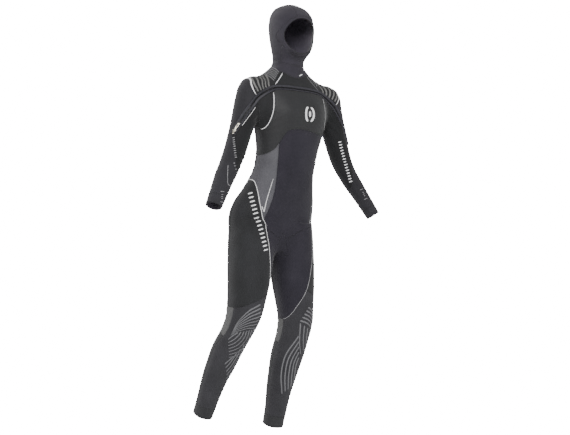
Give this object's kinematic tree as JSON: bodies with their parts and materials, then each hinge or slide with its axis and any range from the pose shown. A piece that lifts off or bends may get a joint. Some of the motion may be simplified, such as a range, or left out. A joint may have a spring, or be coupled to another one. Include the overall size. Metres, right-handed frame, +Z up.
{
  "type": "full wetsuit",
  "caption": "Hooded full-body neoprene diving suit of bonded panels, shaped as worn, with a curved zip over the chest from arm to arm, seals at face, wrists and ankles.",
  "frame": {"origin": "middle of the waist, at the height of the narrowest trunk section", "axes": "+Z up to the crown, -Y out of the chest, -X to the suit's right side"},
  "size_m": [0.762, 0.3644, 1.6212],
  "materials": {
    "plum_jersey": "soft nylon jersey laminated on neoprene",
    "black_jersey": "soft nylon jersey laminated on neoprene",
    "mesh_skin": "fine mesh-embossed neoprene skin",
    "grey_jersey": "soft nylon jersey laminated on neoprene",
    "charcoal_jersey": "soft nylon jersey laminated on neoprene",
    "smooth_skin": "smooth-skin neoprene seal",
    "zip_tape": "woven zip tape",
    "nylon_teeth": "moulded teeth",
    "pale_metal": "satin plated metal"
  },
  "bodies": {
    "suit": {"yoke_front": "black_jersey", "yoke_back": "black_jersey", "shoulder_panel_right": "black_jersey", "shoulder_panel_left": "black_jersey", "chest_panel": "mesh_skin", "underarm_panel_right": "black_jersey", "underarm_panel_left": "black_jersey", "belly_panel": "plum_jersey", "side_panel_right": "grey_jersey", "side_panel_left": "grey_jersey", "upper_back_panel": "black_jersey", "lower_back_panel": "plum_jersey", "seat_panel": "black_jersey", "crotch_gusset": "black_jersey", "thigh_outer_right": "black_jersey", "thigh_outer_left": "black_jersey", "thigh_inner_right": "plum_jersey", "thigh_inner_left": "plum_jersey", "hamstring_panel_right": "black_jersey", "hamstring_panel_left": "black_jersey", "neck_collar": "plum_jersey", "sleeve_cap_right": "charcoal_jersey", "sleeve_inner_right": "black_jersey", "elbow_panel_right": "black_jersey", "knee_panel_right": "charcoal_jersey", "knee_back_right": "grey_jersey", "sleeve_cap_left": "charcoal_jersey", "sleeve_inner_left": "black_jersey", "elbow_panel_left": "black_jersey", "knee_panel_left": "charcoal_jersey", "knee_back_left": "grey_jersey", "zip_tape_upper": "zip_tape", "zip_tape_lower": "zip_tape", "zip_teeth_upper": "nylon_teeth", "zip_teeth_lower": "nylon_teeth", "zip_underlay": "black_jersey", "zip_stop_right": "pale_metal", "zip_stop_left": "pale_metal"},
    "hood": {"hood_centre_panel": "plum_jersey", "hood_side_right": "plum_jersey", "hood_side_left": "plum_jersey", "hood_chin_panel": "plum_jersey", "face_seal": "smooth_skin"},
    "zip_slider_body": {"zip_slider": "pale_metal"},
    "zip_pull_body": {"zip_pull": "pale_metal"},
    "forearm_right": {"forearm_panel_right": "charcoal_jersey", "wrist_seal_right": "smooth_skin"},
    "lower_leg_right": {"shin_panel_right": "charcoal_jersey", "calf_panel_right": "charcoal_jersey", "ankle_seal_right": "smooth_skin"},
    "forearm_left": {"forearm_panel_left": "charcoal_jersey", "wrist_seal_left": "smooth_skin"},
    "lower_leg_left": {"shin_panel_left": "charcoal_jersey", "calf_panel_left": "charcoal_jersey", "ankle_seal_left": "smooth_skin"}
  },
  "joints": [
    {"name": "hood_nod", "type": "hinge", "parent": "suit", "child": "hood", "pos_m": [0, -0.01, 0.396], "axis": [1, 0, 0], "range_deg": [-15, 20], "stiffness_Nm_per_rad": 8, "deforming": ["neck_collar"]},
    {"name": "elbow_right", "type": "hinge", "parent": "suit", "child": "forearm_right", "pos_m": [-0.23714, -0.0588, 0.046], "axis": [-0.9229, 0, 0.3851], "range_deg": [-15, 90], "stiffness_Nm_per_rad": 3, "deforming": ["elbow_panel_right"]},
    {"name": "elbow_left", "type": "hinge", "parent": "suit", "child": "forearm_left", "pos_m": [0.25085, -0.0588, 0.05022], "axis": [-0.9014, 0, -0.433], "range_deg": [-15, 90], "stiffness_Nm_per_rad": 3, "deforming": ["elbow_panel_left"]},
    {"name": "knee_right", "type": "hinge", "parent": "suit", "child": "lower_leg_right", "pos_m": [-0.11518, -0.01132, -0.562], "axis": [0.9961, 0, -0.0879], "range_deg": [-18, 60], "stiffness_Nm_per_rad": 8, "deforming": ["knee_panel_right", "knee_back_right"]},
    {"name": "knee_left", "type": "hinge", "parent": "suit", "child": "lower_leg_left", "pos_m": [0.1091, -0.02789, -0.562], "axis": [0.9988, 0, 0.0484], "range_deg": [-10, 60], "stiffness_Nm_per_rad": 8, "deforming": ["knee_panel_left", "knee_back_left"]},
    {"name": "zip_slide", "type": "slide", "parent": "suit", "child": "zip_slider_body", "axis": [0.4262, -0.2089, 0.8802], "range_m": [0, 0.06]},
    {"name": "pull_flip", "type": "hinge", "parent": "zip_slider_body", "child": "zip_pull_body", "pos_m": [-0.25406, -0.07593, 0.13035], "axis": [-0.6099, 0.6523, 0.4501], "range_deg": [-155, 0]}
  ]
}
